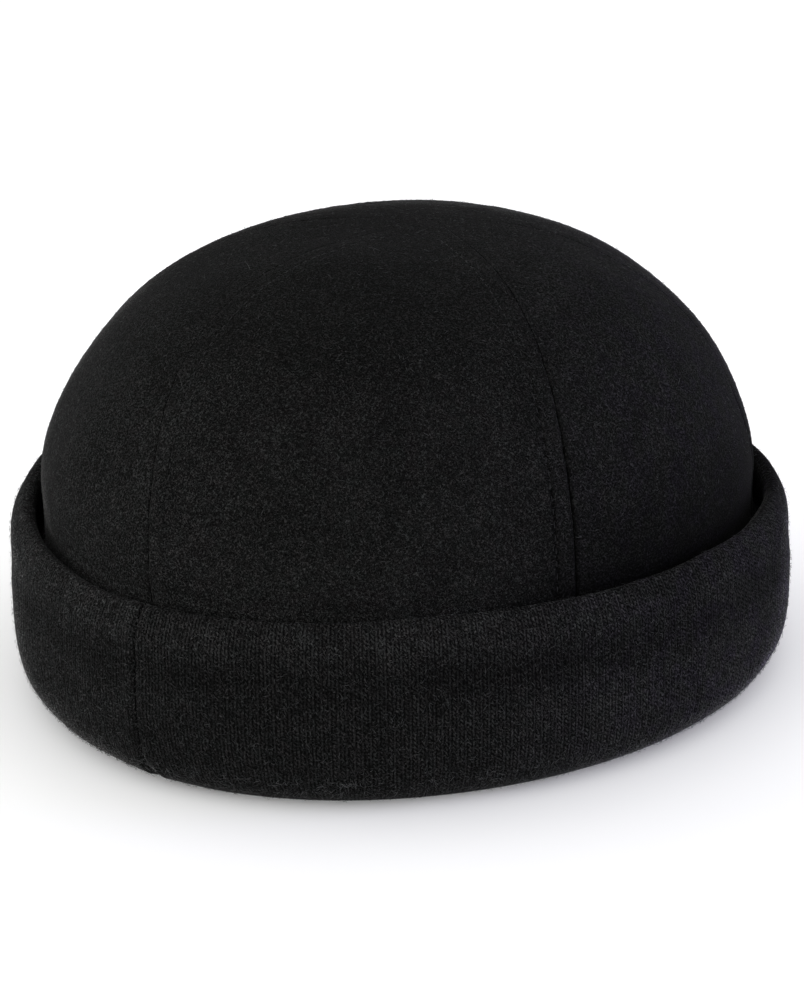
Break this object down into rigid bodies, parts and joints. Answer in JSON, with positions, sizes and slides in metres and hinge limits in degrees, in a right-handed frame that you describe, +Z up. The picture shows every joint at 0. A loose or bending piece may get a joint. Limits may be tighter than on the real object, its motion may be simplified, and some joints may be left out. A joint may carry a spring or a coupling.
{
  "type": "fisherman beanie",
  "caption": "Brimless black beanie with a sewn felted crown and a knitted band turned up as a cuff, standing by itself with the head opening down.",
  "frame": {"origin": "on the surface the hat rests on, under the middle of its bounding box", "axes": "+Z up through the crown, +Y towards the back seam of the cuff, -Y towards the front"},
  "size_m": [0.1998, 0.2039, 0.1111],
  "materials": {
    "felt": "matte black felted wool with short pale fibres in it",
    "knit": "matte black plain knit with fine upright ribs and a light fuzz"
  },
  "bodies": {
    "root": {"cuff": "knit", "crown_panel_1": "felt", "crown_panel_2": "felt", "crown_panel_3": "felt", "crown_panel_4": "felt", "crown_panel_5": "felt", "crown_panel_6": "felt"}
  },
  "joints": []
}
